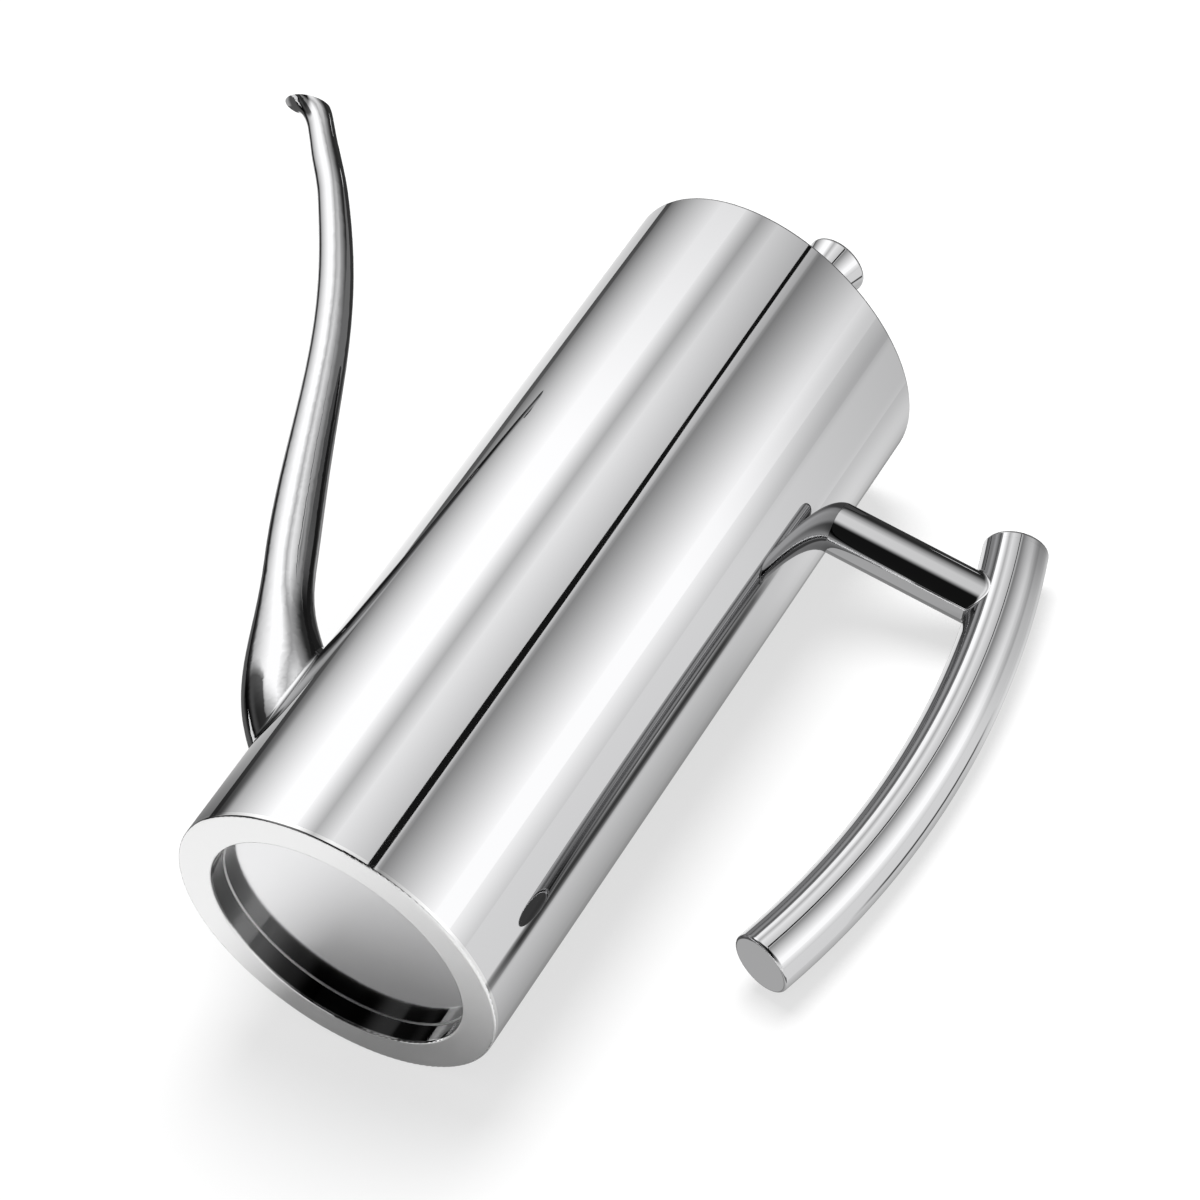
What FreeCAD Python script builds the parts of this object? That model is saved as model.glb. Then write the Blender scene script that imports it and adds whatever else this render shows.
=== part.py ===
"""Slim polished-steel gooseneck kettle with a slanted top, a one-armed handle and a lift-off lid.

Millimetres and degrees. The origin is on the standing plane, on the body's axis. +Z is up, the handle is on +X
and the spout on -X. The lid's pieces have their own frame: its origin is where the body's axis meets the rim
plane, and its Z is square to that plane.
"""
import FreeCAD, Part
import os
import Sketcher
from FreeCAD import Placement, Rotation, Vector

ABOUT_Y = Vector(0, 1, 0)

# Each driving size: its name, its value and what it measures
SIZES = [
    ("body_diameter", 80, "outside of the body"),
    ("body_wall", 1, "sheet of the body"),
    ("body_height", 195.6, "rim height on the body's axis"),
    ("top_slant", 7.25, "slope of the rim, down towards the handle"),
    ("rim_rounding", 0.5, "rounding of the rim's outer edge"),
    ("foot_width", 8.4, "flat ring that the kettle stands on"),
    ("foot_sheet", 1.2, "sheet of the foot ring"),
    ("foot_rounding", 0.5, "rounding of the foot ring's edges"),
    ("recess_depth", 5.2, "underside of the bottom plate above the standing plane"),
    ("plate_sheet", 1, "sheet of the bottom plate"),
    ("seat_depth", 2, "lid seat below the rim plane"),
    ("seat_width", 6, "lid seat, from the body's wall to the mouth"),
    ("mouth_sheet", 1, "sheet of the mouth's collar"),
    ("mouth_depth", 13, "collar below the lid seat"),
    ("lid_gap", 1.2, "lid's edge to the body's wall"),
    ("lid_sheet", 1, "sheet of the lid"),
    ("lid_border", 9.8, "flat border of the lid"),
    ("lid_rise", 6, "raised middle above the border"),
    ("lid_bend", 14, "bend of the lid's sheet"),
    ("skirt_gap", 1.2, "skirt to the collar's wall"),
    ("skirt_sheet", 0.8, "sheet of the skirt"),
    ("skirt_depth", 12, "skirt below the lid"),
    ("groove_drop", 4, "seal groove below the top of the skirt"),
    ("groove_height", 5, "seal groove's opening"),
    ("groove_depth", 1, "seal groove, inwards"),
    ("groove_slope", 0.6, "height of the groove's sloped sides"),
    ("seal_gap", 0.3, "seal's lips to the collar's wall"),
    ("seal_lip", 0.7, "how far the seal's two lips stand out"),
    ("knob_height", 22.5, "knob"),
    ("knob_diameter", 16, "knob at its top"),
    ("knob_stem_diameter", 9, "knob's stem"),
    ("knob_stem_height", 7.5, "where the stem starts to flare"),
    ("knob_foot_diameter", 12, "knob's foot"),
    ("knob_foot_height", 1.6, "knob's foot"),
    ("knob_flare_bend", 20, "bend from the stem into the flare"),
    ("knob_rounding", 0.8, "rounding of the knob's top edge"),
    ("knob_seat_diameter", 18, "flat on the lid under the knob"),
    ("knob_washer_sheet", 0.6, "soft washer under the knob"),
    ("knob_screw_diameter", 4, "screw in the knob"),
    ("knob_screw_length", 12, "screw below its head"),
    ("thread_runout", 1.4, "threaded hole in the knob past the screw's end"),
    ("knob_screw_washer_sheet", 0.8, "steel washer under the screw's head"),
    ("knob_screw_washer_diameter", 9, "steel washer under the screw's head"),
    ("knob_head_diameter", 7.6, "head of the knob's screw"),
    ("knob_head_height", 2.6, "head of the knob's screw"),
    ("knob_socket", 2.5, "hexagon in the head, across flats"),
    ("knob_socket_depth", 1.6, "hexagon in the head"),
    ("thread_gap", 0.05, "screw to the threaded hole's wall"),
    ("hole_gap", 0.25, "screw to a plain hole's wall"),
    ("spout_wall", 0.8, "sheet of the spout"),
    ("arm_drop", 40.3, "handle arm below the rim on the body's axis"),
    ("arm_diameter", 12.6, "handle arm"),
    ("arm_wall", 1.2, "sheet of the handle arm"),
    ("bow_diameter", 15.4, "handle bow's tube"),
    ("bow_wall", 1.2, "sheet of the handle bow"),
    ("bow_bend", 220, "bend of the bow, to the tube's centre"),
    ("bow_reach", 48.3, "furthest place of the tube's centre from the body's wall"),
    ("bow_drop", 49.8, "that place below the arm"),
    ("bow_rise_angle", 17.3, "tube above that place, about the bend's centre"),
    ("bow_drop_angle", 15.4, "tube below that place, about the bend's centre"),
    ("cap_height", 2, "end cap outside the tube"),
    ("cap_plug", 5, "end cap inside the tube"),
    ("cap_gap", 0.15, "end cap's plug to the tube"),
    ("cap_rounding", 0.8, "rounding of the end cap's edge"),
    ("plug_length", 12, "threaded plug in the arm"),
    ("handle_screw_diameter", 5, "screw in the handle"),
    ("handle_screw_length", 14, "screw below its head"),
    ("handle_head_diameter", 9.5, "head of the handle's screw"),
    ("handle_head_height", 3, "head of the handle's screw"),
    ("handle_socket", 3, "hexagon in the head, across flats"),
    ("handle_socket_depth", 1.8, "hexagon in the head"),
    ("head_rounding", 0.6, "rounding of the screw heads"),
    ("saddle_diameter", 18, "backing pad inside the body"),
    ("saddle_thickness", 2.8, "backing pad at its middle"),
    ("gasket_sheet", 1, "gasket under the backing pad"),
]

# The spout's sections, from inside the body to the mouth: centre out from the body's wall, height, half length in
# the handle's plane, half width across it, and slope of the section's long axis. The first is wholly inside the body,
# so that the spout meets the body's wall all round.
SPOUT_SECTIONS = [
    ("inside", -13.3, 33, 11.2, 11.2, 39),
    ("port", -6.5, 39, 11.2, 11.2, 40),
    ("root", 3, 49.5, 10.6, 10.6, 40),
    ("knee", 13, 64, 7.2, 7.2, 30.5),
    ("lower", 25.5, 89, 6, 6, 23.5),
    ("middle", 39, 120.5, 5, 5, 23.5),
    ("upper", 52, 148, 4.4, 4.4, 29),
    ("high", 64.2, 167.5, 3.95, 3.95, 35.5),
    ("neck", 73.2, 179.4, 3.6, 3.6, 39),
    ("throat", 79.3, 186.6, 3.35, 3.35, 39),
    ("beak", 84.4, 192.2, 4, 3.6, 16),
    ("mouth", 88, 193.6, 5.7, 4, 18.5),
]

doc = FreeCAD.newDocument("gooseneck_kettle")
sheet = doc.addObject("Spreadsheet::Sheet", "sizes")


def write_sizes():
    """The driving sizes go into the sheet, one row each, with the name as the alias."""
    rows = list(SIZES)
    for station, reach, height, half_length, half_width, slope in SPOUT_SECTIONS:
        rows.append((f"spout_{station}_reach", reach, "section's centre out from the body's wall"))
        rows.append((f"spout_{station}_height", height, "section's centre above the standing plane"))
        rows.append((f"spout_{station}_half_length", half_length, "section in the handle's plane"))
        rows.append((f"spout_{station}_half_width", half_width, "section across the handle's plane"))
        rows.append((f"spout_{station}_slope", slope, "section's long axis from level"))
    for number, (name, value, meaning) in enumerate(rows, start=1):
        sheet.set(f"A{number}", name)
        sheet.set(f"B{number}", str(value))
        sheet.set(f"C{number}", meaning)
        sheet.setAlias(f"B{number}", name)
    doc.recompute()


def number(expression):
    """The value that an expression has now."""
    return float(sheet.evalExpression(str(expression)))


def bind(thing, **expressions):
    """Ties properties to expressions. A double underscore stands for the dot in a property's path."""
    for path, expression in expressions.items():
        thing.setExpression(path.replace("__", "."), str(expression))
    return thing


def origin_plane(body, role):
    return next(plane for plane in body.Origin.OriginFeatures if plane.Role == role)


def new_sketch(body, role, suffix):
    sketch = body.newObject("Sketcher::SketchObject", f"{body.Name}_{suffix}")
    sketch.AttachmentSupport = (origin_plane(body, role), "")
    sketch.MapMode = "FlatFace"
    return sketch


def hold_point(sketch, line, end, axis_kind, axis, expression):
    """Holds one coordinate of a point: on the axis when it is zero, otherwise at a bound distance from it."""
    if abs(number(expression)) < 1e-9:
        sketch.addConstraint(Sketcher.Constraint("PointOnObject", line, end, axis))
        return
    distance = Sketcher.Constraint(axis_kind, -1, 1, line, end, number(expression))
    index = sketch.addConstraint(distance)
    sketch.setExpression(f"Constraints[{index}]", str(expression))


def draw_outline(sketch, corners):
    """A closed outline of straight lines. Each corner is a pair of expressions."""
    points = [Vector(number(across), number(along), 0) for across, along in corners]
    count = len(points)
    for index, point in enumerate(points):
        sketch.addGeometry(Part.LineSegment(point, points[(index + 1) % count]))
    for index in range(count):
        sketch.addConstraint(Sketcher.Constraint("Coincident", index, 2, (index + 1) % count, 1))
    for index, (across, along) in enumerate(corners):
        hold_point(sketch, index, 1, "DistanceX", -2, across)
        hold_point(sketch, index, 1, "DistanceY", -1, along)


def draw_ring(sketch, centre, outer_radius, inner_radius):
    """Two circles with one centre on the sketch's level axis."""
    for index, radius in enumerate((outer_radius, inner_radius)):
        sketch.addGeometry(Part.Circle(Vector(number(centre), 0, 0), Vector(0, 0, 1), number(radius)))
        hold_point(sketch, index, 3, "DistanceX", -2, centre)
        sketch.addConstraint(Sketcher.Constraint("PointOnObject", index, 3, -1))
        held = sketch.addConstraint(Sketcher.Constraint("Radius", index, number(radius)))
        sketch.setExpression(f"Constraints[{held}]", str(radius))


def turned(label, corners):
    """A piece turned about its own Z from half an outline: pairs of radius and height."""
    body = doc.addObject("PartDesign::Body", label)
    sketch = new_sketch(body, "XZ_Plane", "outline")
    draw_outline(sketch, corners)
    turning = body.newObject("PartDesign::Revolution", f"{label}_turning")
    turning.Profile = sketch
    turning.ReferenceAxis = (sketch, ["V_Axis"])
    turning.Angle = 360
    doc.recompute()
    return body


def circle_edges(shape, radius, height):
    """Names of the level circular edges of one radius at one height of a turned piece."""
    names = []
    for index, edge in enumerate(shape.Edges, start=1):
        if not isinstance(edge.Curve, Part.Circle):
            continue
        same_radius = abs(edge.Curve.Radius - number(radius)) < 1e-4
        same_height = abs(edge.Curve.Center.z - number(height)) < 1e-4
        if same_radius and same_height:
            names.append(f"Edge{index}")
    return names


def round_off(body, radius, places):
    """Rounds the level circular edges of a turned piece. Each place is a pair of radius and height."""
    tip = body.Tip
    names = []
    for place in places:
        names.extend(circle_edges(tip.Shape, *place))
    fillet = body.newObject("PartDesign::Fillet", f"{body.Name}_rounding")
    fillet.Base = (tip, names)
    bind(fillet, Radius=radius)
    doc.recompute()


def place(thing, x=0, z=0, turn=0):
    """Puts a piece at a place in the handle's plane, turned about Y. All three are expressions."""
    thing.Placement = Placement(Vector(number(x), 0, number(z)), Rotation(ABOUT_Y, number(turn)))
    for path, expression in (("Base.x", x), ("Base.z", z), ("Rotation.Angle", turn)):
        if isinstance(expression, str):
            thing.setExpression(f"Placement.{path}", expression)
    return thing


def on_rim(thing):
    """Puts a piece into the lid's frame."""
    return place(thing, 0, "sizes.body_height", "sizes.top_slant")


def upright(name, radius, height):
    """A round bar on the body's axis, from the standing plane up."""
    bar = doc.addObject("Part::Cylinder", name)
    return bind(bar, Radius=radius, Height=height)


def along_arm(name, radius, start, length):
    """A round bar on the handle arm's axis, pointing away from the body."""
    bar = doc.addObject("Part::Cylinder", name)
    bind(bar, Radius=radius, Height=length)
    return place(bar, start, arm_height, 90)


def joined(kind, label, base, tool):
    result = doc.addObject(f"Part::{kind}", label)
    result.Base = base
    result.Tool = tool
    return result


def together(name, pieces):
    fuse = doc.addObject("Part::MultiFuse", name)
    fuse.Shapes = pieces
    return fuse


def screw(label, diameter, length, head_diameter, head_height, socket, socket_depth):
    """A cap screw. Its own frame has the head's bearing face at zero and the thread along +Z."""
    shank = f"{diameter} / 2"
    head = f"{head_diameter} / 2"
    body = turned(label, [
        (0, f"-{head_height}"),
        (head, f"-{head_height}"),
        (head, 0),
        (shank, 0),
        (shank, length),
        (0, length),
    ])
    round_off(body, "sizes.head_rounding", [(head, f"-{head_height}")])
    hexagon = new_sketch(body, "XY_Plane", "socket")
    bind(hexagon, AttachmentOffset__Base__z=f"-{head_height}")
    corner = f"{socket} / sqrt(3)"
    corners = [(f"{corner} * cos({angle})", f"{corner} * sin({angle})") for angle in range(0, 360, 60)]
    draw_outline(hexagon, corners)
    before = body.Shape.Volume
    pocket = body.newObject("PartDesign::Pocket", f"{label}_socket")
    pocket.Profile = hexagon
    pocket.Reversed = True
    bind(pocket, Length=socket_depth)
    doc.recompute()
    if body.Shape.Volume > before - 1:
        raise RuntimeError(f"the socket of {label} cut nothing")
    return body


write_sizes()
body_radius = "sizes.body_diameter / 2"
bore_radius = f"({body_radius} - sizes.body_wall)"
above_everything = "sizes.body_height + sizes.body_diameter"
arm_height = "(sizes.body_height - sizes.arm_drop)"
pieces = []

# Foot ring: a flat ring to stand on, with an upstand that carries the bottom plate
recess_radius = f"({body_radius} - sizes.foot_width)"
upstand_radius = f"({recess_radius} + sizes.foot_sheet)"
base_ring = turned("base_ring", [
    (recess_radius, 0),
    (body_radius, 0),
    (body_radius, "sizes.foot_sheet"),
    (upstand_radius, "sizes.foot_sheet"),
    (upstand_radius, "sizes.recess_depth"),
    (recess_radius, "sizes.recess_depth"),
])
round_off(base_ring, "sizes.foot_rounding", [(recess_radius, 0), (body_radius, 0)])
pieces.append(base_ring)

# Bottom plate: a flat disc on the upstand, inside the body's wall
plate_top = "(sizes.recess_depth + sizes.plate_sheet)"
base_plate = turned("base_plate", [
    (0, "sizes.recess_depth"),
    (bore_radius, "sizes.recess_depth"),
    (bore_radius, plate_top),
    (0, plate_top),
])
pieces.append(base_plate)


def spout_loft(name, wall):
    """A solid through the spout's sections, drawn in by the wall."""
    sections = []
    for station, *_ in SPOUT_SECTIONS:
        section = doc.addObject("Part::Ellipse", f"{name}_{station}")
        bind(
            section,
            MajorRadius=f"sizes.spout_{station}_half_length - {wall}",
            MinorRadius=f"sizes.spout_{station}_half_width - {wall}",
        )
        place(
            section,
            f"-({body_radius} + sizes.spout_{station}_reach)",
            f"sizes.spout_{station}_height",
            f"-sizes.spout_{station}_slope",
        )
        sections.append(section)
    loft = doc.addObject("Part::Loft", name)
    loft.Sections = sections
    loft.Solid = True
    return loft


# Spout: a tapered tube, cut to the body's wall at its root and open along its whole length
body_envelope = upright("body_envelope", body_radius, above_everything)
spout_outside = spout_loft("spout_outside", "0")
spout_bore = spout_loft("spout_bore", "sizes.spout_wall")
spout_tube = joined("Cut", "spout_tube", spout_outside, together("spout_removed", [body_envelope, spout_bore]))
pieces.append(spout_tube)

# Body: a tube on the foot ring, cut at a slant, with a port for the spout and a hole for the handle's screw
handle_screw_radius = "sizes.handle_screw_diameter / 2"
body_tube = doc.addObject("PartDesign::Body", "body_tube")
tube_sketch = new_sketch(body_tube, "XY_Plane", "section")
bind(tube_sketch, AttachmentOffset__Base__z="sizes.foot_sheet")
draw_ring(tube_sketch, 0, body_radius, bore_radius)
tube_pad = body_tube.newObject("PartDesign::Pad", "body_tube_length")
tube_pad.Profile = tube_sketch
bind(tube_pad, Length=above_everything)
above_rim = doc.addObject("Part::Cylinder", "above_rim")
on_rim(bind(above_rim, Radius="sizes.body_diameter", Height=above_everything))
slanted_tube = joined("Cut", "slanted_tube", body_tube, above_rim)
doc.recompute()


def outer_rim_edges(shape):
    """Numbers of the edges that run round the outside of the slanted rim."""
    numbers = []
    for index, edge in enumerate(shape.Edges, start=1):
        points = edge.discretize(9)
        outside = all(abs(Vector(p.x, p.y, 0).Length - number(body_radius)) < 1e-3 for p in points)
        high = all(p.z > number("sizes.body_height / 2") for p in points)
        if outside and high:
            numbers.append(index)
    return numbers


rounded_tube = doc.addObject("Part::Fillet", "rounded_tube")
rounded_tube.Base = slanted_tube
rim_radius = number("sizes.rim_rounding")
rounded_tube.Edges = [(index, rim_radius, rim_radius) for index in outer_rim_edges(slanted_tube.Shape)]
screw_passage = along_arm(
    "screw_passage", f"{handle_screw_radius} + sizes.hole_gap", 0, "sizes.body_diameter"
)
body_shell = joined("Cut", "body_shell", rounded_tube, together("body_openings", [spout_bore, screw_passage]))
pieces.append(body_shell)

# Mouth: a pressed collar in the slanted top, with a flange that seats the lid and a neck for its skirt
mouth_radius = f"({bore_radius} - sizes.seat_width)"
neck_radius = f"({mouth_radius} + sizes.mouth_sheet)"
seat = "(-sizes.seat_depth)"
below_seat = f"({seat} - sizes.mouth_sheet)"
neck_foot = f"({seat} - sizes.mouth_depth)"
mouth_blank = on_rim(turned("mouth_blank", [
    (mouth_radius, neck_foot),
    (neck_radius, neck_foot),
    (neck_radius, below_seat),
    (body_radius, below_seat),
    (body_radius, seat),
    (mouth_radius, seat),
]))
body_bore = upright("body_bore", bore_radius, above_everything)
mouth_ring = joined("Common", "mouth_ring", mouth_blank, body_bore)
pieces.append(mouth_ring)

# Lid: a pressed disc with a raised middle, lying on the seat
lid_radius = f"({bore_radius} - sizes.lid_gap)"
border_radius = f"({lid_radius} - sizes.lid_border)"
knob_seat_radius = "sizes.knob_seat_diameter / 2"
knob_hole = "(sizes.knob_screw_diameter / 2 + sizes.hole_gap)"
border_top = f"({seat} + sizes.lid_sheet)"
middle_top = f"({border_top} + sizes.lid_rise)"
middle_under = f"({middle_top} - sizes.lid_sheet)"
lid_cover = turned("lid_cover", [
    (knob_hole, middle_under),
    (knob_seat_radius, middle_under),
    (border_radius, seat),
    (lid_radius, seat),
    (lid_radius, border_top),
    (border_radius, border_top),
    (knob_seat_radius, middle_top),
    (knob_hole, middle_top),
])
round_off(lid_cover, "sizes.lid_bend", [
    (knob_seat_radius, middle_under),
    (border_radius, seat),
    (border_radius, border_top),
    (knob_seat_radius, middle_top),
])
pieces.append(on_rim(lid_cover))

# Skirt: a thin collar under the lid, with a pressed groove for the seal
skirt_radius = f"({mouth_radius} - sizes.skirt_gap)"
groove_radius = f"({skirt_radius} - sizes.groove_depth)"
groove_top = f"({seat} - sizes.groove_drop)"
groove_foot = f"({groove_top} - sizes.groove_height)"
skirt_foot = f"({seat} - sizes.skirt_depth)"
groove_side = "sizes.groove_slope"
thin = "sizes.skirt_sheet"
lid_skirt = turned("lid_skirt", [
    (f"{skirt_radius} - {thin}", skirt_foot),
    (skirt_radius, skirt_foot),
    (skirt_radius, groove_foot),
    (groove_radius, f"{groove_foot} + {groove_side}"),
    (groove_radius, f"{groove_top} - {groove_side}"),
    (skirt_radius, groove_top),
    (skirt_radius, seat),
    (f"{skirt_radius} - {thin}", seat),
    (f"{skirt_radius} - {thin}", f"{groove_top} + {groove_side} / 2"),
    (f"{groove_radius} - {thin}", f"{groove_top} - {groove_side} / 2"),
    (f"{groove_radius} - {thin}", f"{groove_foot} + {groove_side} / 2"),
    (f"{skirt_radius} - {thin}", f"{groove_foot} - {groove_side} / 2"),
])
pieces.append(on_rim(lid_skirt))

# Seal: a soft ring in the groove, with two lips towards the collar
lip_radius = f"({mouth_radius} - sizes.seal_gap)"
web_radius = f"({lip_radius} - sizes.seal_lip)"
seal_top = f"({groove_top} - {groove_side})"
seal_foot = f"({groove_foot} + {groove_side})"
seal_step = f"(({seal_top} - {seal_foot}) / 4)"
lid_seal = turned("lid_seal", [
    (groove_radius, seal_foot),
    (web_radius, seal_foot),
    (lip_radius, f"{seal_foot} + {seal_step}"),
    (web_radius, f"{seal_foot} + 2 * {seal_step}"),
    (lip_radius, f"{seal_foot} + 3 * {seal_step}"),
    (web_radius, seal_top),
    (groove_radius, seal_top),
])
pieces.append(on_rim(lid_seal))

# Knob washer: a soft ring between knob and lid
knob_foot = f"({middle_top} + sizes.knob_washer_sheet)"
knob_foot_radius = "sizes.knob_foot_diameter / 2"
knob_washer = turned("knob_washer", [
    (knob_hole, middle_top),
    (knob_foot_radius, middle_top),
    (knob_foot_radius, knob_foot),
    (knob_hole, knob_foot),
])
pieces.append(on_rim(knob_washer))

# Knob: turned from bar, a stem that flares to the flat top, with a threaded hole from below
knob_thread = "(sizes.knob_screw_diameter / 2 + sizes.thread_gap)"
stem_radius = "sizes.knob_stem_diameter / 2"
knob_radius = "sizes.knob_diameter / 2"
foot_shoulder = f"({knob_foot} + sizes.knob_foot_height)"
stem_foot = f"({foot_shoulder} + {knob_foot_radius} - {stem_radius})"
flare_start = f"({knob_foot} + sizes.knob_stem_height)"
knob_top = f"({knob_foot} + sizes.knob_height)"
washer_under = f"({middle_under} - sizes.knob_screw_washer_sheet)"
thread_end = f"({washer_under} + sizes.knob_screw_length + sizes.thread_runout)"
lid_knob = turned("lid_knob", [
    (knob_thread, knob_foot),
    (knob_foot_radius, knob_foot),
    (knob_foot_radius, foot_shoulder),
    (stem_radius, stem_foot),
    (stem_radius, flare_start),
    (knob_radius, knob_top),
    (0, knob_top),
    (0, thread_end),
    (knob_thread, thread_end),
])
round_off(lid_knob, "sizes.knob_flare_bend", [(stem_radius, flare_start)])
round_off(lid_knob, "sizes.knob_rounding", [(knob_radius, knob_top)])
pieces.append(on_rim(lid_knob))

# Knob screw and its washer, under the lid's raised middle
washer_radius = "sizes.knob_screw_washer_diameter / 2"
knob_screw_washer = turned("knob_screw_washer", [
    (knob_hole, washer_under),
    (washer_radius, washer_under),
    (washer_radius, middle_under),
    (knob_hole, middle_under),
])
pieces.append(on_rim(knob_screw_washer))
knob_screw = screw(
    "knob_screw",
    "sizes.knob_screw_diameter",
    "sizes.knob_screw_length",
    "sizes.knob_head_diameter",
    "sizes.knob_head_height",
    "sizes.knob_socket",
    "sizes.knob_socket_depth",
)
place(
    knob_screw,
    f"{washer_under} * sin(sizes.top_slant)",
    f"sizes.body_height + {washer_under} * cos(sizes.top_slant)",
    "sizes.top_slant",
)
pieces.append(knob_screw)

# Bow: a tube bent to one arc, set out from the bend's centre
tube_radius = "sizes.bow_diameter / 2"
tube_bore = f"({tube_radius} - sizes.bow_wall)"
bend_centre = f"({body_radius} + sizes.bow_reach - sizes.bow_bend)"
bend_height = f"({arm_height} - sizes.bow_drop)"
handle_bow = doc.addObject("PartDesign::Body", "handle_bow")
bow_sketch = new_sketch(handle_bow, "XY_Plane", "section")
draw_ring(bow_sketch, "sizes.bow_bend", tube_radius, tube_bore)
bow_turning = handle_bow.newObject("PartDesign::Revolution", "handle_bow_bend")
bow_turning.Profile = bow_sketch
bow_turning.ReferenceAxis = (bow_sketch, ["V_Axis"])
bind(bow_turning, Angle="sizes.bow_rise_angle + sizes.bow_drop_angle")
place(handle_bow, bend_centre, bend_height, "-sizes.bow_rise_angle")
pieces.append(handle_bow)


def end_cap(label, angle, turn):
    """A disc on one end of the bow, with a plug in the tube. The angle is up from level, at the bend's centre."""
    plug_radius = f"({tube_bore} - sizes.cap_gap)"
    cap = turned(label, [
        (0, "-sizes.cap_plug"),
        (plug_radius, "-sizes.cap_plug"),
        (plug_radius, 0),
        (tube_radius, 0),
        (tube_radius, "sizes.cap_height"),
        (0, "sizes.cap_height"),
    ])
    round_off(cap, "sizes.cap_rounding", [(tube_radius, "sizes.cap_height")])
    place(
        cap,
        f"{bend_centre} + sizes.bow_bend * cos({angle})",
        f"{bend_height} + sizes.bow_bend * sin({angle})",
        turn,
    )
    pieces.append(cap)


end_cap("bow_top_cap", "sizes.bow_rise_angle", "-sizes.bow_rise_angle")
end_cap("bow_bottom_cap", "-sizes.bow_drop_angle", "180 + sizes.bow_drop_angle")

# Arm: a straight tube, cut to the body's wall at one end and to the bow at the other
arm_radius = "sizes.arm_diameter / 2"
arm_bore_radius = f"({arm_radius} - sizes.arm_wall)"
arm_end = f"({bend_centre} + sqrt(sizes.bow_bend ^ 2 - sizes.bow_drop ^ 2))"
arm_bar = along_arm("arm_bar", arm_radius, 0, arm_end)
arm_bore = along_arm("arm_bore", arm_bore_radius, 0, arm_end)
bow_envelope = doc.addObject("Part::Torus", "bow_envelope")
bow_envelope.Placement = Placement(Vector(0, 0, 0), Rotation(Vector(1, 0, 0), 90))
bind(
    bow_envelope,
    Radius1="sizes.bow_bend",
    Radius2=tube_radius,
    Placement__Base__x=bend_centre,
    Placement__Base__z=bend_height,
)
arm_removed = together("arm_removed", [arm_bore, body_envelope, bow_envelope])
handle_arm = joined("Cut", "handle_arm", arm_bar, arm_removed)
pieces.append(handle_arm)

# Plug: threaded, in the arm's end at the body
plug_bar = along_arm("plug_bar", arm_bore_radius, 0, f"{body_radius} + sizes.plug_length")
thread_hole = along_arm(
    "thread_hole", f"{handle_screw_radius} + sizes.thread_gap", 0, "sizes.body_diameter"
)
arm_plug = joined("Cut", "arm_plug", plug_bar, together("plug_removed", [thread_hole, body_envelope]))
pieces.append(arm_plug)

# Gasket and backing pad: round pieces inside the body, curved to its wall, with a flat for the screw's head
saddle_radius = "sizes.saddle_diameter / 2"
gasket_inside = f"({bore_radius} - sizes.gasket_sheet)"
saddle_face = f"({gasket_inside} - sizes.saddle_thickness)"
saddle_bore = upright("saddle_bore", gasket_inside, above_everything)
gasket_bar = along_arm("gasket_bar", saddle_radius, 0, "sizes.body_diameter")
gasket_disc = joined("Common", "gasket_disc", gasket_bar, body_bore)
gasket_removed = together("gasket_removed", [saddle_bore, screw_passage])
handle_gasket = joined("Cut", "handle_gasket", gasket_disc, gasket_removed)
pieces.append(handle_gasket)
saddle_bar = along_arm("saddle_bar", saddle_radius, saddle_face, "sizes.body_diameter")
saddle_disc = joined("Common", "saddle_disc", saddle_bar, saddle_bore)
handle_saddle = joined("Cut", "handle_saddle", saddle_disc, screw_passage)
pieces.append(handle_saddle)

# Handle screw: from inside the body, through pad, gasket and wall, into the plug
handle_screw = screw(
    "handle_screw",
    "sizes.handle_screw_diameter",
    "sizes.handle_screw_length",
    "sizes.handle_head_diameter",
    "sizes.handle_head_height",
    "sizes.handle_socket",
    "sizes.handle_socket_depth",
)
place(handle_screw, saddle_face, arm_height, 90)
pieces.append(handle_screw)

# Every object must have built before anything is written
doc.recompute()
for thing in doc.Objects:
    if "Invalid" in thing.State or "Error" in thing.State:
        raise RuntimeError(f"{thing.Label} failed: {thing.State}")
for piece in pieces:
    if piece.Shape.isNull() or not piece.Shape.isValid():
        raise RuntimeError(f"{piece.Label} has no valid shape")
    if len(piece.Shape.Solids) != 1:
        raise RuntimeError(f"{piece.Label} has {len(piece.Shape.Solids)} solids")

os.makedirs("parts", exist_ok=True)
for piece in pieces:
    piece.Shape.exportStep(f"parts/{piece.Label}.step")
    print(piece.Label, round(piece.Shape.Volume), "mm3")
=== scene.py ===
import bmesh
import bpy
import math
from mathutils import Matrix, Vector
from mathutils.bvhtree import BVHTree


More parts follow.
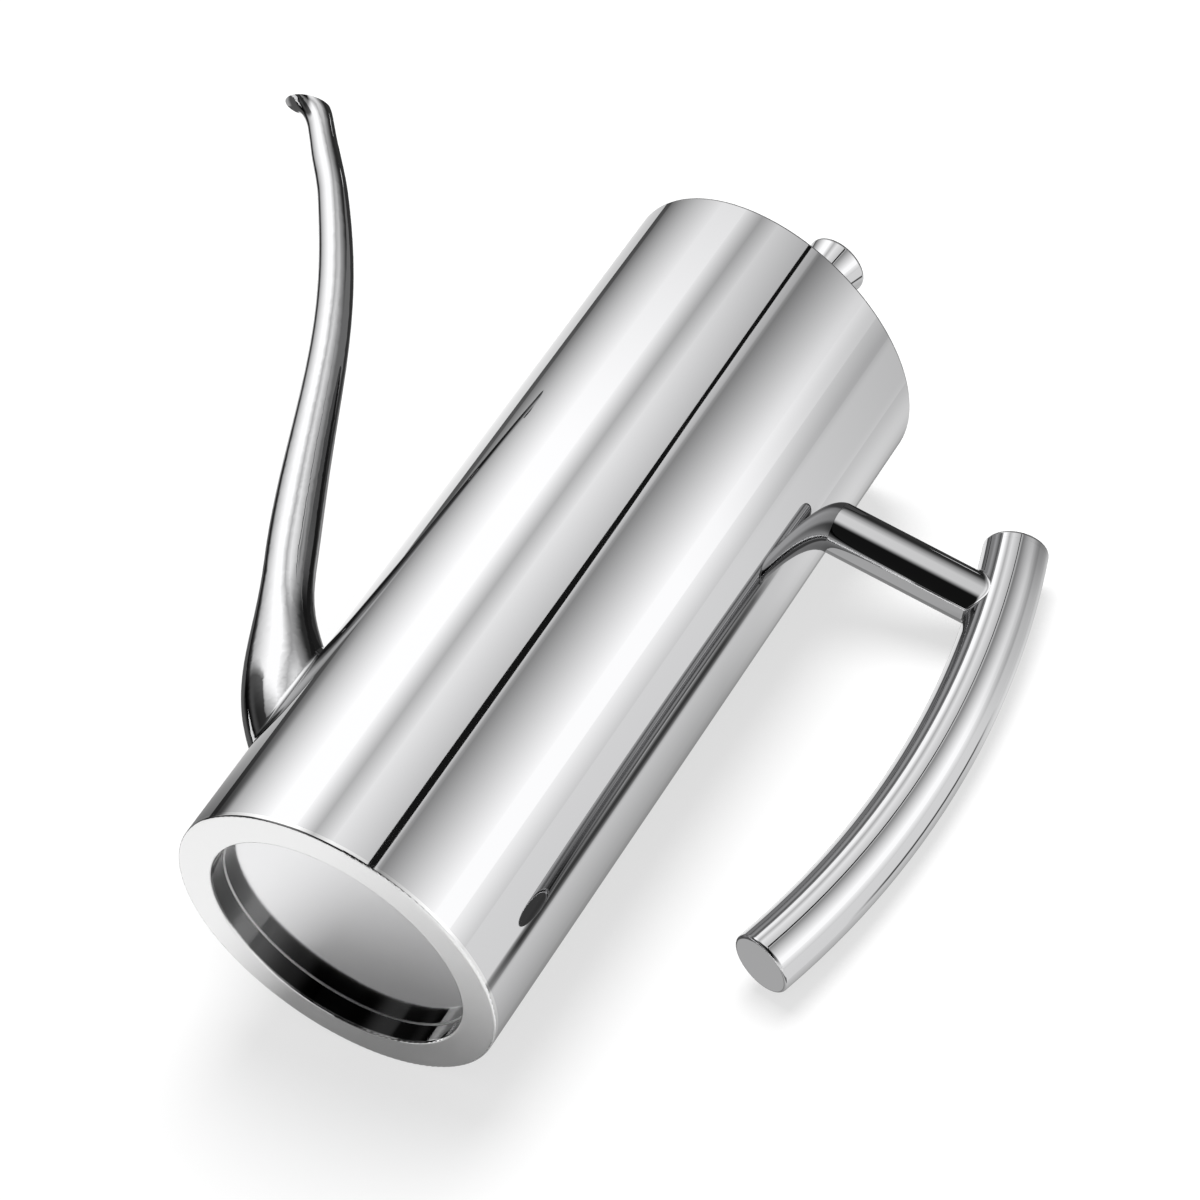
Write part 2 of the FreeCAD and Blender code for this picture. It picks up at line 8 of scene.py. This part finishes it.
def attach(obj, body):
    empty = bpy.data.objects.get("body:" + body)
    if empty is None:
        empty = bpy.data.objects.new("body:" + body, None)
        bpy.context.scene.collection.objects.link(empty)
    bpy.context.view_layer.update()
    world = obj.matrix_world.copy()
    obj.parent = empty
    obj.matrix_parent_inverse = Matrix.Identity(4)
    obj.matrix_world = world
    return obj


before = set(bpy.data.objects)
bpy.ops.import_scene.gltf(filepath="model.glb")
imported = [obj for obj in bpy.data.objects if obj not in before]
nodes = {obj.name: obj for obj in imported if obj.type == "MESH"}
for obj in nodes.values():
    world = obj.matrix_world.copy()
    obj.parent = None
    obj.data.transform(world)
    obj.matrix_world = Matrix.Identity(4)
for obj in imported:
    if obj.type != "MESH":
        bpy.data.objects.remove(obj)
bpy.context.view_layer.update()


# Body: a tube of stainless steel, cut at a slant and buffed to a mirror outside. Buffing leaves a trace of haze, and
# the sheet is never quite true, so straight reflections waver a little. Inside it is left as drawn, satin.
def linear(hex_colour):
    """An sRGB hex colour as linear red, green, blue and alpha."""
    channels = [int(hex_colour[i:i + 2], 16) / 255 for i in (0, 2, 4)]
    return [c / 12.92 if c <= 0.04045 else ((c + 0.055) / 1.055) ** 2.4 for c in channels] + [1.0]


def add_node(tree, kind, inputs=None, **settings):
    """A node with its settings. Each input is a value, or another node's output to link from."""
    node = tree.nodes.new(kind)
    for name, value in settings.items():
        setattr(node, name, value)
    for socket, value in (inputs or {}).items():
        if isinstance(value, bpy.types.NodeSocket):
            tree.links.new(value, node.inputs[socket])
        else:
            node.inputs[socket].default_value = value
    return node


def new_material(name):
    """An empty material and its node tree."""
    material = bpy.data.materials.new(name)
    material.use_nodes = True
    material.node_tree.nodes.clear()
    return material, material.node_tree


def give(material, *names):
    """The CAD nodes of these names show this material."""
    for name in names:
        for material_slot in nodes[name].material_slots:
            material_slot.material = material


BUFFING_HAZE_MM = 14
SHEET_WAVE_MM = 60


def buffed_roughness(tree, place):
    """The mirror's roughness, uneven by the buffing haze."""
    haze = add_node(tree, "ShaderNodeTexNoise", {"Vector": place, "Scale": 1000 / BUFFING_HAZE_MM, "Detail": 4.0})
    roughness = add_node(tree, "ShaderNodeMapRange", {
        "Value": haze.outputs["Fac"],
        "From Min": 0.3,
        "From Max": 0.7,
        "To Min": 0.012,
        "To Max": 0.034,
    })
    return roughness.outputs["Result"]


def steel_surface(tree, colour, roughness, height, strength, depth):
    """Steel with this colour and roughness, and a bump of this height pattern, depth in metres."""
    bump = add_node(tree, "ShaderNodeBump", {"Height": height, "Strength": strength, "Distance": depth})
    shader = add_node(tree, "ShaderNodeBsdfPrincipled", {
        "Base Color": linear(colour) if isinstance(colour, str) else colour,
        "Metallic": 1.0,
        "Roughness": roughness,
        "Normal": bump.outputs["Normal"],
    })
    add_node(tree, "ShaderNodeOutputMaterial", {"Surface": shader.outputs["BSDF"]})


def distance_from_axis(tree, place):
    """How far a place is from the kettle's upright axis."""
    flat = add_node(tree, "ShaderNodeVectorMath", {0: place, 1: (1, 1, 0)}, operation="MULTIPLY")
    return add_node(tree, "ShaderNodeVectorMath", {0: flat.outputs["Vector"]}, operation="LENGTH").outputs["Value"]


MIRROR_COLOUR = "CACACB"
SHEET_WAVE_DEPTH = 0.002
BODY_WAVE_STRENGTH = 0.03
INSIDE_RADIUS = 0.0395
INSIDE_ROUGHNESS = 0.3
body_steel, tree = new_material("mirror_buffed_steel_body")
place = add_node(tree, "ShaderNodeTexCoord").outputs["Object"]
wave = add_node(tree, "ShaderNodeTexNoise", {"Vector": place, "Scale": 1000 / SHEET_WAVE_MM, "Detail": 0.0})
inside = add_node(
    tree, "ShaderNodeMath", {0: distance_from_axis(tree, place), 1: INSIDE_RADIUS}, operation="LESS_THAN"
)
finish = add_node(tree, "ShaderNodeMix", {
    "Factor": inside.outputs["Value"],
    "A": buffed_roughness(tree, place),
    "B": INSIDE_ROUGHNESS,
})
steel_surface(
    tree, MIRROR_COLOUR, finish.outputs["Result"], wave.outputs["Fac"], BODY_WAVE_STRENGTH, SHEET_WAVE_DEPTH
)
give(body_steel, "body_shell")

# Foot ring: a pressed ring that the kettle stands on. Its flat face is turned to a satin finish, in fine circles about
# the axis. Its edges are buffed, and the wall of the recess is painted a darker grey: painted shade in the recess.
TURNING_LINE_MM = 0.5
TOOL_MARK_DEPTH = 0.00005
FACE_HEIGHT = 0.00006
RECESS_RADIUS = 0.0316
RECESS_MARGIN = 0.0002
WALL_FOOT = 0.0006
RING_COLOUR = "DCDCDC"
# Darker grey for the recess wall: painted shade in the recess, not the steel's own colour.
RECESS_SHADE_COLOUR = "787878"
EDGE_ROUGHNESS = 0.05
ring_steel, tree = new_material("satin_turned_steel_ring")
place = add_node(tree, "ShaderNodeTexCoord").outputs["Object"]
radius = distance_from_axis(tree, place)
lines = add_node(
    tree,
    "ShaderNodeTexNoise",
    {"W": radius, "Scale": 1000 / TURNING_LINE_MM, "Detail": 2.0},
    noise_dimensions="1D",
)
height = add_node(tree, "ShaderNodeSeparateXYZ", {"Vector": place}).outputs["Z"]
on_face = add_node(tree, "ShaderNodeMath", {0: height, 1: FACE_HEIGHT}, operation="LESS_THAN")
satin = add_node(tree, "ShaderNodeMapRange", {"Value": lines.outputs["Fac"], "To Min": 0.14, "To Max": 0.26})
finish = add_node(tree, "ShaderNodeMix", {
    "Factor": on_face.outputs["Value"],
    "A": EDGE_ROUGHNESS,
    "B": satin.outputs["Result"],
})
in_recess = add_node(
    tree, "ShaderNodeMath", {0: radius, 1: RECESS_RADIUS + RECESS_MARGIN}, operation="LESS_THAN"
)
above_edge = add_node(tree, "ShaderNodeMath", {0: height, 1: WALL_FOOT}, operation="GREATER_THAN")
wall_shade_mask = add_node(
    tree,
    "ShaderNodeMath",
    {0: in_recess.outputs["Value"], 1: above_edge.outputs["Value"]},
    operation="MULTIPLY",
)
# The recess wall gets the darker grey: painted shade.
colour = add_node(
    tree,
    "ShaderNodeMix",
    {0: wall_shade_mask.outputs["Value"], 6: linear(RING_COLOUR), 7: linear(RECESS_SHADE_COLOUR)},
    data_type="RGBA",
)
steel_surface(
    tree, colour.outputs[2], finish.outputs["Result"], lines.outputs["Fac"], strength=0.05, depth=TOOL_MARK_DEPTH
)
give(ring_steel, "base_ring")

# Bottom plate: a flat disc of stainless steel, welded into the ring at the top of the recess. It is polished as it
# spins, but not to a mirror, which leaves faint circles and a haze.
plate_steel, tree = new_material("spun_polished_steel_plate")
place = add_node(tree, "ShaderNodeTexCoord").outputs["Object"]
lines = add_node(
    tree,
    "ShaderNodeTexNoise",
    {"W": distance_from_axis(tree, place), "Scale": 1000 / TURNING_LINE_MM, "Detail": 3.0},
    noise_dimensions="1D",
)
finish = add_node(tree, "ShaderNodeMapRange", {"Value": lines.outputs["Fac"], "To Min": 0.06, "To Max": 0.12})
steel_surface(
    tree, "D9D9DA", finish.outputs["Result"], lines.outputs["Fac"], strength=0.02, depth=TOOL_MARK_DEPTH
)
give(plate_steel, "base_plate")

# Spout, handle, lid and knob: tube, sheet and bar, all buffed to the same mirror as the body. They are stiffer than
# the body's sheet, so they waver less.
TUBE_WAVE_STRENGTH = 0.02
mirror_steel, tree = new_material("mirror_buffed_steel")
place = add_node(tree, "ShaderNodeTexCoord").outputs["Object"]
wave = add_node(tree, "ShaderNodeTexNoise", {"Vector": place, "Scale": 1000 / SHEET_WAVE_MM, "Detail": 0.0})
steel_surface(
    tree, MIRROR_COLOUR, buffed_roughness(tree, place), wave.outputs["Fac"], TUBE_WAVE_STRENGTH, SHEET_WAVE_DEPTH
)
give(mirror_steel, "spout_tube", "handle_arm", "handle_bow", "bow_top_cap", "bow_bottom_cap")
give(mirror_steel, "lid_cover", "lid_knob")

# Collar, skirt, backing pad and fasteners: pressed or turned pieces that are out of sight with the lid on. They keep
# the satin of the mill and the lathe.
MILL_GRAIN_MM = 0.4
mill_steel, tree = new_material("mill_finish_steel")
place = add_node(tree, "ShaderNodeTexCoord").outputs["Object"]
grain = add_node(tree, "ShaderNodeTexNoise", {"Vector": place, "Scale": 1000 / MILL_GRAIN_MM, "Detail": 3.0})
finish = add_node(tree, "ShaderNodeMapRange", {"Value": grain.outputs["Fac"], "To Min": 0.18, "To Max": 0.34})
steel_surface(
    tree, "C4C4C4", finish.outputs["Result"], grain.outputs["Fac"], strength=0.08, depth=TOOL_MARK_DEPTH
)
give(mill_steel, "mouth_ring", "lid_skirt", "handle_saddle", "arm_plug")
give(mill_steel, "handle_screw", "knob_screw", "knob_screw_washer")

# Seal, washer and gasket: soft rings moulded in white silicone, matt, with light passing a little way in. The seal
# sits in the skirt's groove, the washer under the knob, and the gasket under the pad inside the body.
MOULD_GRAIN_MM = 0.6
silicone, tree = new_material("white_silicone")
place = add_node(tree, "ShaderNodeTexCoord").outputs["Object"]
grain = add_node(tree, "ShaderNodeTexNoise", {"Vector": place, "Scale": 1000 / MOULD_GRAIN_MM, "Detail": 2.0})
bump = add_node(tree, "ShaderNodeBump", {"Height": grain.outputs["Fac"], "Strength": 0.1, "Distance": 0.0001})
shader = add_node(tree, "ShaderNodeBsdfPrincipled", {
    "Base Color": linear("E4E4E0"),
    "Roughness": 0.55,
    "Subsurface Weight": 0.2,
    "Subsurface Scale": 0.002,
    "Normal": bump.outputs["Normal"],
})
add_node(tree, "ShaderNodeOutputMaterial", {"Surface": shader.outputs["BSDF"]})
give(silicone, "lid_seal", "knob_washer", "handle_gasket")


# Welds: the spout on the body and the arm on the bow, each ground to a small hollow fillet and buffed with the rest.
# A fillet follows the joint, and its section is tangent to both pieces.
def surface_of(name):
    """The surface of a CAD node, to look up nearest points on."""
    mesh = nodes[name].data
    return BVHTree.FromPolygons([v.co for v in mesh.vertices], [p.vertices for p in mesh.polygons])


CONTACT_GAP = 3e-5
SAME_SPOT = 1e-7


def joint_line(child, parent_surface, count):
    """Evenly spaced points round the outer edge of the child's end, which lies on the parent."""
    mesh = nodes[child].data
    touching = [parent_surface.find_nearest(v.co)[3] < CONTACT_GAP for v in mesh.vertices]
    spot = [tuple(round(c / SAME_SPOT) for c in v.co) for v in mesh.vertices]
    place_of = dict(zip(spot, (v.co.copy() for v in mesh.vertices)))
    border = set()
    for polygon in mesh.polygons:
        if all(touching[v] for v in polygon.vertices):
            for a, b in polygon.edge_keys:
                border ^= {frozenset((spot[a], spot[b]))}
    beside = {}
    for edge in border:
        for here in edge:
            beside.setdefault(here, []).extend(there for there in edge if there != here)
    loops = []
    while beside:
        loop = [min(beside)]
        while loop[-1] in beside:
            onward = [there for there in beside.pop(loop[-1]) if there in beside]
            if onward:
                loop.append(onward[0])
        loops.append([place_of[here] for here in loop])
    lengths = []
    for loop in loops:
        lengths.append(sum((loop[i] - loop[i - 1]).length for i in range(len(loop))))
    whole = max(lengths)
    loop = loops[lengths.index(whole)]
    line, travelled, wanted = [], 0.0, 0.0
    for i in range(len(loop)):
        step = loop[(i + 1) % len(loop)] - loop[i]
        while wanted < travelled + step.length and len(line) < count:
            line.append(loop[i] + step * ((wanted - travelled) / step.length))
            wanted += whole / count
        travelled += step.length
    return line


SECTION_STEPS = 10
LINE_POINTS = 160
SMOOTHING_PASSES = 4
ROOT_DEPTH = 0.2
SHARP_ANGLE = math.radians(50)


def weld(name, child, parent, leg):
    """A fillet along the joint of two CAD nodes. The leg is its length on each, and its root is a share of it deep."""
    parent_surface, child_surface = surface_of(parent), surface_of(child)
    line = joint_line(child, parent_surface, LINE_POINTS)
    for _ in range(SMOOTHING_PASSES):
        line = [(line[i - 1] + line[i] * 2 + line[(i + 1) % len(line)]) / 4 for i in range(len(line))]
    points, faces = [], []
    for row, corner in enumerate(line):
        parent_normal = parent_surface.find_nearest(corner)[1]
        child_normal = child_surface.find_nearest(corner + parent_normal * leg)[1]
        along_parent = (child_normal - parent_normal * child_normal.dot(parent_normal)).normalized()
        along_child = (parent_normal - child_normal * parent_normal.dot(child_normal)).normalized()
        start = parent_surface.find_nearest(corner + along_parent * leg)[0]
        end = child_surface.find_nearest(corner + along_child * leg)[0]
        for step in range(SECTION_STEPS):
            share = step / (SECTION_STEPS - 1)
            bend = corner * 2 * share * (1 - share)
            points.append(start * (1 - share) ** 2 + bend + end * share ** 2)
        points.append(corner - (parent_normal + child_normal) * (ROOT_DEPTH * leg))
        width = SECTION_STEPS + 1
        after = (row + 1) % len(line)
        for step in range(width):
            beside = (step + 1) % width
            faces.append((row * width + step, row * width + beside, after * width + beside, after * width + step))
    mesh = bpy.data.meshes.new(name)
    mesh.from_pydata(points, [], faces)
    shape = bmesh.new()
    shape.from_mesh(mesh)
    bmesh.ops.recalc_face_normals(shape, faces=shape.faces)
    if shape.calc_volume(signed=True) < 0:
        bmesh.ops.reverse_faces(shape, faces=shape.faces)
    shape.to_mesh(mesh)
    shape.free()
    mesh.shade_smooth()
    mesh.set_sharp_from_angle(angle=SHARP_ANGLE)
    mesh.materials.append(mirror_steel)
    piece = bpy.data.objects.new(name, mesh)
    bpy.context.scene.collection.objects.link(piece)
    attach(piece, "kettle")


weld("spout_weld", "spout_tube", "body_shell", leg=0.0014)
weld("arm_weld", "handle_arm", "handle_bow", leg=0.0008)

# Bottom seam: the thin bead that welds the bottom plate to the ring, all round the corner of the recess. It is left
# as it cooled, so it shows as a fine pale line in the dark corner.
SEAM_RADIUS = 0.0003
SEAM_STEPS = 192
SEAM_SIDES = 12
PLATE_HEIGHT = 0.0052
WELD_RIPPLE_MM = 0.3
bead_steel, tree = new_material("as_welded_steel")
place = add_node(tree, "ShaderNodeTexCoord").outputs["Object"]
ripple = add_node(tree, "ShaderNodeTexNoise", {"Vector": place, "Scale": 1000 / WELD_RIPPLE_MM, "Detail": 2.0})
finish = add_node(tree, "ShaderNodeMapRange", {"Value": ripple.outputs["Fac"], "To Min": 0.45, "To Max": 0.65})
steel_surface(
    tree, "DEDEDE", finish.outputs["Result"], ripple.outputs["Fac"], strength=0.1, depth=TOOL_MARK_DEPTH
)
tree = bpy.data.node_groups.new("bead_round_the_recess", "GeometryNodeTree")
tree.interface.new_socket("Geometry", in_out="OUTPUT", socket_type="NodeSocketGeometry")
bead_sizes = {}
for size_name, size in (
    ("Recess Radius", RECESS_RADIUS),
    ("Bead Radius", SEAM_RADIUS),
    ("Plate Height", PLATE_HEIGHT),
):
    socket = tree.interface.new_socket(size_name, in_out="INPUT", socket_type="NodeSocketFloat")
    bead_sizes[socket.identifier] = size
sizes = add_node(tree, "NodeGroupInput")
path = add_node(tree, "GeometryNodeCurvePrimitiveCircle", {
    "Resolution": SEAM_STEPS,
    "Radius": sizes.outputs["Recess Radius"],
})
section = add_node(tree, "GeometryNodeCurvePrimitiveCircle", {
    "Resolution": SEAM_SIDES,
    "Radius": sizes.outputs["Bead Radius"],
})
bead = add_node(tree, "GeometryNodeCurveToMesh", {
    "Curve": path.outputs["Curve"],
    "Profile Curve": section.outputs["Curve"],
})
lift = add_node(tree, "ShaderNodeCombineXYZ", {"Z": sizes.outputs["Plate Height"]})
raised = add_node(tree, "GeometryNodeTransform", {
    "Geometry": bead.outputs["Mesh"],
    "Translation": lift.outputs["Vector"],
})
smooth = add_node(tree, "GeometryNodeSetShadeSmooth", {"Geometry": raised.outputs["Geometry"]})
realized = add_node(tree, "GeometryNodeRealizeInstances", {"Geometry": smooth.outputs["Geometry"]})
finished = add_node(tree, "GeometryNodeSetMaterial", {
    "Geometry": realized.outputs["Geometry"],
    "Material": bead_steel,
})
add_node(tree, "NodeGroupOutput", {"Geometry": finished.outputs["Geometry"]})
empty_mesh = bpy.data.meshes.new("bead_start")
seam = bpy.data.objects.new("bottom_seam", empty_mesh)
bpy.context.scene.collection.objects.link(seam)
bead_maker = seam.modifiers.new("bead", "NODES")
bead_maker.node_group = tree
for identifier, size in bead_sizes.items():
    bead_maker[identifier] = size
mesh = bpy.data.meshes.new_from_object(seam.evaluated_get(bpy.context.evaluated_depsgraph_get()))
mesh.name = "bottom_seam"
seam.modifiers.remove(bead_maker)
seam.data = mesh
bpy.data.meshes.remove(empty_mesh)
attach(seam, "kettle")

# Studio: pale panels stand round the kettle on a dome, with a narrow gap between two of them, a dark flag behind the
# spout, a dim ceiling and a dark room in front, below the panels. They light the steel and show in it, and the camera
# looks through them. Panels seen in steel that shows in other steel are dimmer, for the photograph's strong contrast.
# Each panel: from and to, in degrees round the kettle, and the glow at its two edges.
DOME_RADIUS = 0.6
KETTLE_MIDDLE = Vector((0, 0, 0.1))
STUDIO_LEVEL = 1.22
SECOND_REFLECTION = 0.5
DOME_STEP = 2
DOME_END = 88
GAP = (-87, -83)
PANELS = [
    (-180, -158, 0.85, 1.35),
    (-158, -138, 1.38, 1.38),
    (-138, -125, 1.3, 0.6),
    (-125, -113, 0.6, 1.05),
    (-113, GAP[0], 1.08, 0.72),
    (GAP[0], GAP[1], 0.01, 0.01),
    (GAP[1], -81, 0.8, 0.5),
    (-81, -79, 0.45, 0.32),
    (-79, -38, 0.32, 1.3),
    (-38, -24, 1.35, 1.35),
    (-24, -8, 1.2, 0.8),
    (-8, 30, 0.88, 0.85),
    (30, 85, 0.75, 0.26),
    (85, 104, 0.24, 0.3),
    (104, 147, 0.95, 0.85),
    (147, 154, 0.1, 0.12),
    (154, 180, 0.22, 0.85),
]


def ease(low, high, value):
    """From 0 to 1, smoothly, as the value goes from low to high."""
    share = min(max((value - low) / (high - low), 0.0), 1.0)
    return share * share * (3 - 2 * share)


def between(low_from, low_to, high_from, high_to, value):
    """1 from low_to to high_from, and down to 0 smoothly at low_from and high_to."""
    return ease(low_from, low_to, value) * (1 - ease(high_from, high_to, value))


def studio_glow(azimuth, elevation, panel_glow):
    """How bright the studio is in one direction, in degrees, given the panel's glow there."""
    # The panels fade upwards. Above the handle they fade more, and behind it less.
    glow = panel_glow * (1 - 0.3 * ease(30, 46, elevation))
    glow *= 1 - 0.25 * between(-45, -25, -12, -2, azimuth) * ease(30, 40, elevation)
    glow *= 1 + 0.85 * between(22, 62, 78, 98, azimuth) * ease(29, 38, elevation)
    # The shade under the grip and under its end cap
    glow *= 1 - 0.94 * between(22, 25, 29, 33, azimuth) * between(12, 18, 31, 36, elevation)
    glow *= 1 - 0.8 * between(12, 18, 34, 42, azimuth) * (1 - ease(-22, -14, elevation))
    # The dark flag behind the spout, and the shade to the left of it
    glow *= 1 - 0.88 * between(98, 111, 158, 168, azimuth) * (1 - ease(14, 26, elevation))
    left_of_spout = ease(136, 146, azimuth) if azimuth > 0 else 1 - ease(-164, -161, azimuth)
    glow *= 1 - 0.85 * left_of_spout * (1 - ease(-2, 4, elevation))
    # The dark room in front, darkest round the camera
    in_front = 1 - ease(-60, 0, azimuth) if azimuth < 90 else ease(165, 180, azimuth)
    round_camera = between(-150, -130, -80, -62, azimuth)
    glow *= 1 - (0.8 + 0.19 * round_camera) * in_front * (1 - ease(-20, 4, elevation))
    # The even grey that the grip's end cap shows
    past_cap = between(88, 93, 115, 120, azimuth) * (1 - ease(-20, -14, elevation))
    glow = glow * (1 - past_cap) + 0.48 * past_cap
    # The ceiling
    over_handle = between(-75, -55, 40, 50, azimuth)
    over_table = between(40, 50, 165, 178, azimuth)
    over_front = 1 - over_handle - over_table
    ceiling = 0.18 * over_handle + 0.04 * over_table + (0.42 - 0.39 * ease(48, 76, elevation)) * over_front
    above = ease(44, 54, elevation)
    return STUDIO_LEVEL * (glow * (1 - above) + ceiling * above)


def panel_edge(azimuth, elevation):
    """Where a panel's edge stands. The gap in front narrows and leans to the left as it goes up."""
    if azimuth not in GAP:
        return azimuth
    middle = sum(GAP) / 2
    narrowed = (azimuth - middle) * (1.15 - 0.7 * ease(20, 42, elevation))
    return middle + narrowed - 3.0 * ease(28, 42, elevation)


points, faces, glow = [], [], []
rows = list(range(-DOME_END, DOME_END + DOME_STEP, DOME_STEP))
for start, end, first, last in PANELS:
    steps = max(2, round((end - start) / DOME_STEP))
    for step in range(steps + 1):
        azimuth = start + (end - start) * step / steps
        for elevation in rows:
            level = math.cos(math.radians(elevation))
            edge = math.radians(panel_edge(azimuth, elevation))
            direction = Vector((
                level * math.cos(edge),
                level * math.sin(edge),
                math.sin(math.radians(elevation)),
            ))
            points.append(KETTLE_MIDDLE + direction * DOME_RADIUS)
            glow.append(studio_glow(azimuth, elevation, first + (last - first) * step / steps))
        if step:
            for row in range(len(rows) - 1):
                there = len(points) - len(rows) + row
                here = there - len(rows)
                faces.append((here, here + 1, there + 1, there))
mesh = bpy.data.meshes.new("studio_panels")
mesh.from_pydata(points, [], faces)
mesh.attributes.new("glow", "FLOAT", "POINT").data.foreach_set("value", glow)
panels = bpy.data.objects.new("studio_panels", mesh)
bpy.context.scene.collection.objects.link(panels)
panel_light, tree = new_material("panel_light")
brightness = add_node(tree, "ShaderNodeAttribute", attribute_name="glow")
ray = add_node(tree, "ShaderNodeLightPath")
dimmed = add_node(tree, "ShaderNodeMapRange", {
    "Value": ray.outputs["Ray Depth"],
    "From Min": 1.0,
    "From Max": 2.0,
    "To Min": 1.0,
    "To Max": SECOND_REFLECTION,
})
strength = add_node(
    tree, "ShaderNodeMath", {0: brightness.outputs["Fac"], 1: dimmed.outputs["Result"]}, operation="MULTIPLY"
)
shader = add_node(tree, "ShaderNodeEmission", {"Strength": strength.outputs["Value"]})
add_node(tree, "ShaderNodeOutputMaterial", {"Surface": shader.outputs["Emission"]})
mesh.materials.append(panel_light)
panels.visible_camera = False
panels.visible_diffuse = False
panels.visible_shadow = False

# Room: white behind everything, and dimmer as the soft light that falls on the boards and the silicone.
SOFT_LIGHT = 0.45
world = bpy.data.worlds.new("white_room")
world.use_nodes = True
tree = world.node_tree
tree.nodes.clear()
ray = add_node(tree, "ShaderNodeLightPath")
brightness = add_node(tree, "ShaderNodeMapRange", {
    "Value": ray.outputs["Is Diffuse Ray"],
    "To Min": 1.0,
    "To Max": SOFT_LIGHT,
})
room = add_node(tree, "ShaderNodeBackground", {"Color": (1, 1, 1, 1), "Strength": brightness.outputs["Result"]})
add_node(tree, "ShaderNodeOutputWorld", {"Surface": room.outputs["Background"]})
bpy.context.scene.world = world

# Table and floor: white boards. The kettle lies on the table in the main view, on its side and on its handle, and
# stands on the floor in the other views. Each shows only from its upper side and keeps the kettle's soft shadow. The
# steel shows only the part of the table past its foot.
WHITE_SHARE = 0.65
white_board, tree = new_material("white_board")
under = add_node(tree, "ShaderNodeNewGeometry").outputs["Backfacing"]
paper = add_node(tree, "ShaderNodeBsdfDiffuse", {"Color": linear("F2F2F2")})
white = add_node(tree, "ShaderNodeEmission", {"Strength": 1.0})
ray = add_node(tree, "ShaderNodeLightPath")
lift = add_node(tree, "ShaderNodeMath", {0: ray.outputs["Is Camera Ray"], 1: WHITE_SHARE}, operation="MULTIPLY")
lit = add_node(tree, "ShaderNodeMixShader", {
    "Fac": lift.outputs["Value"],
    1: paper.outputs["BSDF"],
    2: white.outputs["Emission"],
})
clear = add_node(tree, "ShaderNodeBsdfTransparent")
side = add_node(tree, "ShaderNodeMixShader", {"Fac": under, 1: lit.outputs["Shader"], 2: clear.outputs["BSDF"]})
add_node(tree, "ShaderNodeOutputMaterial", {"Surface": side.outputs["Shader"]})


def board(name, rows_of_points, closed, in_steel):
    """A flat white board between rows of points. A closed one goes all round, and one in_steel shows in the steel."""
    count = len(rows_of_points[0])
    quads = []
    for row in range(len(rows_of_points) - 1):
        for step in range(count if closed else count - 1):
            here = row * count + step
            there = row * count + (step + 1) % count
            quads.append((here, here + count, there + count, there))
    board_mesh = bpy.data.meshes.new(name)
    board_mesh.from_pydata([point for row in rows_of_points for point in row], [], quads)
    board_mesh.materials.append(white_board)
    piece = bpy.data.objects.new(name, board_mesh)
    bpy.context.scene.collection.objects.link(piece)
    piece.visible_glossy = in_steel
    piece.visible_shadow = False
    piece.visible_diffuse = False


FOOT_RADIUS = 0.040
FLOOR_REACH = 3.0
FLOOR_DROP = 0.00005
FLOOR_SIDES = 96
turns = [2 * math.pi * step / FLOOR_SIDES for step in range(FLOOR_SIDES)]
floor_rows = []
for reach in (FOOT_RADIUS, FLOOR_REACH):
    floor_rows.append([Vector((reach * math.cos(a), reach * math.sin(a), -FLOOR_DROP)) for a in turns])
board("floor", floor_rows, closed=True, in_steel=False)
GRIP_RADIUS = 0.0077
GRIP_REACH = 0.0883
TABLE_REACH = 0.8
TABLE_DROP = 0.0002
lean = math.asin((FOOT_RADIUS - GRIP_RADIUS) / GRIP_REACH)
into_table = Vector((math.sin(lean), math.cos(lean), 0))
sideways = Vector((math.cos(lean), -math.sin(lean), 0))
table_line = into_table * (FOOT_RADIUS + TABLE_DROP)
for name, low, high, in_steel in (
    ("table_past_foot", -TABLE_REACH, 0.0, True),
    ("table_beside_body", 0.0, TABLE_REACH, False),
):
    table_rows = []
    for height in (low, high):
        level_line = table_line + Vector((0, 0, height))
        table_rows.append([level_line + sideways * reach for reach in (TABLE_REACH, -TABLE_REACH)])
    board(name, table_rows, closed=False, in_steel=in_steel)

# Key lamp: a broad soft lamp over the table, a little towards the lid. It gives the boards their light and the kettle
# its shadow, and the steel doesn't show it.
LAMP_DISTANCE = 0.9
LAMP_TOWARDS_LID = 0.3
LAMP_TOWARDS_HANDLE = 0.03
lamp = bpy.data.lights.new("key_lamp", "AREA")
lamp.shape = "DISK"
lamp.size = 0.6
lamp.energy = 10.5
key = bpy.data.objects.new("key_lamp", lamp)
towards_lamp = -into_table + Vector((0, 0, LAMP_TOWARDS_LID)) + sideways * LAMP_TOWARDS_HANDLE
towards_lamp.normalize()
key.location = KETTLE_MIDDLE + towards_lamp * LAMP_DISTANCE
key.rotation_euler = towards_lamp.to_track_quat("Z", "Y").to_euler()
key.visible_glossy = False
key.visible_camera = False
bpy.context.scene.collection.objects.link(key)

# Camera: below and in front of the kettle, turned so that it seems to lie slanting across the picture.
CAMERA_PLACE = Vector((0.2121, -0.8213, -0.3958))
forward = Vector((-0.2114, 0.8332, 0.5110)).normalized()
right = Vector((0.8633, -0.0859, 0.4973))
right = (right - forward * right.dot(forward)).normalized()
lens = bpy.data.cameras.new("camera")
lens.lens = 130.19
lens.sensor_width = 36.0
lens.clip_start = 0.01
camera = bpy.data.objects.new("camera", lens)
turn = Matrix((right, right.cross(forward), -forward)).transposed()
camera.matrix_world = Matrix.Translation(CAMERA_PLACE) @ turn.to_4x4()
bpy.context.scene.collection.objects.link(camera)
bpy.context.scene.camera = camera
bpy.context.scene.view_settings.view_transform = "Standard"
